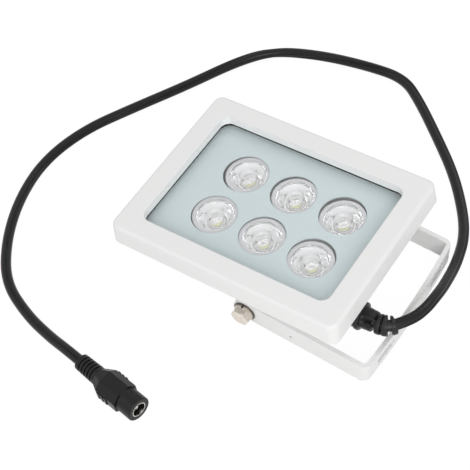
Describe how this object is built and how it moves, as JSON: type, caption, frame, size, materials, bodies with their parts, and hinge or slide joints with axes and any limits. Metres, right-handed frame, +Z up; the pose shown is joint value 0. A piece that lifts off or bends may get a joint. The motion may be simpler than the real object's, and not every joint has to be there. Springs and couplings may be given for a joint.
{
  "type": "white light illuminator",
  "caption": "Flat rectangular floodlight head in a white die-cast housing with clear lenses behind glass, a swivelling U bracket and a cord ending in a round DC socket.",
  "frame": {"origin": "on the table plane, under the middle of the lamp head and bracket together, measured without the cord, its strain relief and its socket", "axes": "+X along the head's long side towards the cord exit and the bracket's web, +Y across the head away from the viewer, +Z up, out of the front glass"},
  "size_m": [0.2174, 0.2296, 0.042],
  "materials": {
    "housing_paint": "white satin powder coat on die-cast aluminium",
    "bracket_paint": "white satin powder coat on sheet steel",
    "plate_paint": "white satin paint on thin sheet",
    "front_glass": "clear float glass with a faint aqua tint",
    "lens_acrylic": "clear moulded acrylic",
    "holder_plastic": "silvery white moulded plastic",
    "led_phosphor": "yellow phosphor under a clear dome",
    "led_board_mask": "aluminium core board with a white solder mask",
    "driver_laminate": "green glass-fibre laminate",
    "component_black": "moulded black epoxy",
    "coil_core": "sintered ferrite with enamelled wire",
    "capacitor_can": "bare drawn can",
    "terminal_plastic": "green moulded plastic",
    "lead_red": "red soft jacket",
    "lead_black": "black soft jacket",
    "seal_rubber": "black silicone sheet",
    "bolt_nickel": "nickel-plated steel, slightly warm and dull",
    "washer_dark": "dark spring steel",
    "screw_steel": "zinc-plated steel",
    "cord_jacket": "black flexible jacket, soft sheen",
    "relief_plastic": "black moulded nylon",
    "socket_plastic": "black moulded vinyl, soft sheen",
    "socket_nickel": "nickel-plated brass"
  },
  "bodies": {
    "lamp": {"board_screws": "screw_steel", "body_seal": "seal_rubber", "cord_end": "cord_jacket", "cover_plate": "plate_paint", "driver_board": "driver_laminate", "driver_capacitor": "capacitor_can", "driver_chips": "component_black", "driver_coil": "coil_core", "driver_screws": "screw_steel", "flat_washer_back": "bolt_nickel", "flat_washer_front": "bolt_nickel", "frame_screws": "screw_steel", "front_frame": "housing_paint", "front_glass": "front_glass", "led_1": "led_phosphor", "led_2": "led_phosphor", "led_3": "led_phosphor", "led_4": "led_phosphor", "led_5": "led_phosphor", "led_6": "led_phosphor", "led_board": "led_board_mask", "lens_1": "lens_acrylic", "lens_2": "lens_acrylic", "lens_3": "lens_acrylic", "lens_4": "lens_acrylic", "lens_5": "lens_acrylic", "lens_6": "lens_acrylic", "lens_holder_1": "holder_plastic", "lens_holder_2": "holder_plastic", "lens_holder_3": "holder_plastic", "lens_holder_4": "holder_plastic", "lens_holder_5": "holder_plastic", "lens_holder_6": "holder_plastic", "lip_seal": "seal_rubber", "negative_leads": "lead_black", "pivot_bolt_back": "bolt_nickel", "pivot_bolt_front": "bolt_nickel", "positive_leads": "lead_red", "power_cord": "cord_jacket", "rear_housing": "housing_paint", "socket_base": "socket_plastic", "socket_body": "socket_plastic", "socket_pin": "socket_nickel", "socket_sleeve": "socket_nickel", "spring_washer_back": "washer_dark", "spring_washer_front": "washer_dark", "strain_relief": "relief_plastic", "terminal_block": "terminal_plastic"},
    "bracket_arm": {"bracket": "bracket_paint"}
  },
  "joints": [
    {"name": "bracket_pivot", "type": "hinge", "parent": "lamp", "child": "bracket_arm", "pos_m": [0.00061, 0, 0.0126], "axis": [0, 1, 0], "range_deg": [0, 174]}
  ]
}
